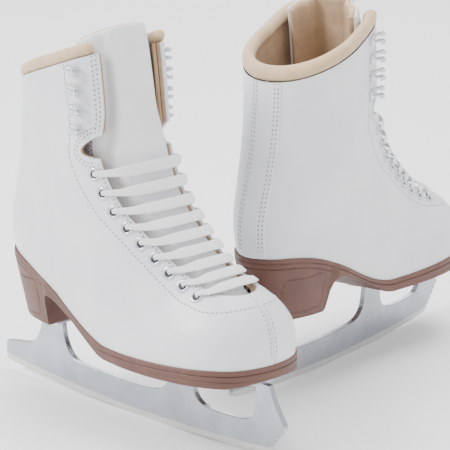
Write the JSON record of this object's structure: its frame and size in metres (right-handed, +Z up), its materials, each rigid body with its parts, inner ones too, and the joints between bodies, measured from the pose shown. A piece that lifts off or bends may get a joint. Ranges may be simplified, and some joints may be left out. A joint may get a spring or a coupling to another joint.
{
  "type": "pair of ice skates",
  "caption": "Pair of white lace-up figure skates with padded beige collars, brown heeled soles and steel blades with toe picks.",
  "frame": {"origin": "middle of the pair's footprint, on the surface both blades stand on", "axes": "+X runs along the right skate's blade from tail to toe picks, +Y runs from the right skate to the left one, +Z up"},
  "size_m": [0.264, 0.3575, 0.2588],
  "materials": {
    "white_leather": "smooth, faintly grained, semi-gloss",
    "beige_lining": "short brushed pile",
    "beige_roll": "soft matt",
    "white_lace": "flat tubular braid",
    "white_lacquer": "gloss lacquer",
    "brown_sole": "moulded, satin",
    "blade_steel": "satin polished",
    "screw_steel": "plated",
    "shank_steel": "cold rolled",
    "sole_board": "fibrous board",
    "stiffener": "matt"
  },
  "bodies": {
    "right_skate": {"right_blade": "blade_steel", "right_sole_plate": "blade_steel", "right_heel_plate": "blade_steel", "right_sole_plate_screws": "screw_steel", "right_heel_plate_screws": "screw_steel", "right_sole_unit": "brown_sole", "right_shank": "shank_steel", "right_insole_board": "sole_board", "right_footbed": "beige_lining", "right_lateral_upper": "white_leather", "right_medial_upper": "white_leather", "right_backstay": "white_leather", "right_heel_counter": "stiffener", "right_toe_puff": "stiffener", "right_lateral_eyestay": "white_leather", "right_medial_eyestay": "white_leather", "right_lining": "beige_lining", "right_collar_roll": "beige_roll", "right_eyelets": "white_lacquer", "right_hooks": "white_lacquer", "right_lace": "white_lace", "right_tongue_base": "white_leather", "right_tongue_base_lining": "beige_lining"},
    "right_tongue": {"right_tongue_top": "white_leather", "right_tongue_top_lining": "beige_lining"},
    "left_skate": {"left_blade": "blade_steel", "left_sole_plate": "blade_steel", "left_heel_plate": "blade_steel", "left_sole_plate_screws": "screw_steel", "left_heel_plate_screws": "screw_steel", "left_sole_unit": "brown_sole", "left_shank": "shank_steel", "left_insole_board": "sole_board", "left_footbed": "beige_lining", "left_lateral_upper": "white_leather", "left_medial_upper": "white_leather", "left_backstay": "white_leather", "left_heel_counter": "stiffener", "left_toe_puff": "stiffener", "left_lateral_eyestay": "white_leather", "left_medial_eyestay": "white_leather", "left_lining": "beige_lining", "left_collar_roll": "beige_roll", "left_eyelets": "white_lacquer", "left_hooks": "white_lacquer", "left_lace": "white_lace", "left_tongue_base": "white_leather", "left_tongue_base_lining": "beige_lining"},
    "left_tongue": {"left_tongue_top": "white_leather", "left_tongue_top_lining": "beige_lining"}
  },
  "joints": [
    {"name": "pair_slide", "type": "slide", "parent": "right_skate", "child": "left_skate", "axis": [0, 1, 0], "range_m": [0, 0.3]},
    {"name": "right_tongue_flex", "type": "hinge", "parent": "right_skate", "child": "right_tongue", "pos_m": [0.0095, -0.13038, 0.181], "axis": [0, -1, 0], "range_deg": [0, 12]},
    {"name": "left_tongue_flex", "type": "hinge", "parent": "left_skate", "child": "left_tongue", "pos_m": [0.01093, 0.05797, 0.181], "axis": [0.9848, 0.1736, 0], "range_deg": [0, 12]}
  ]
}
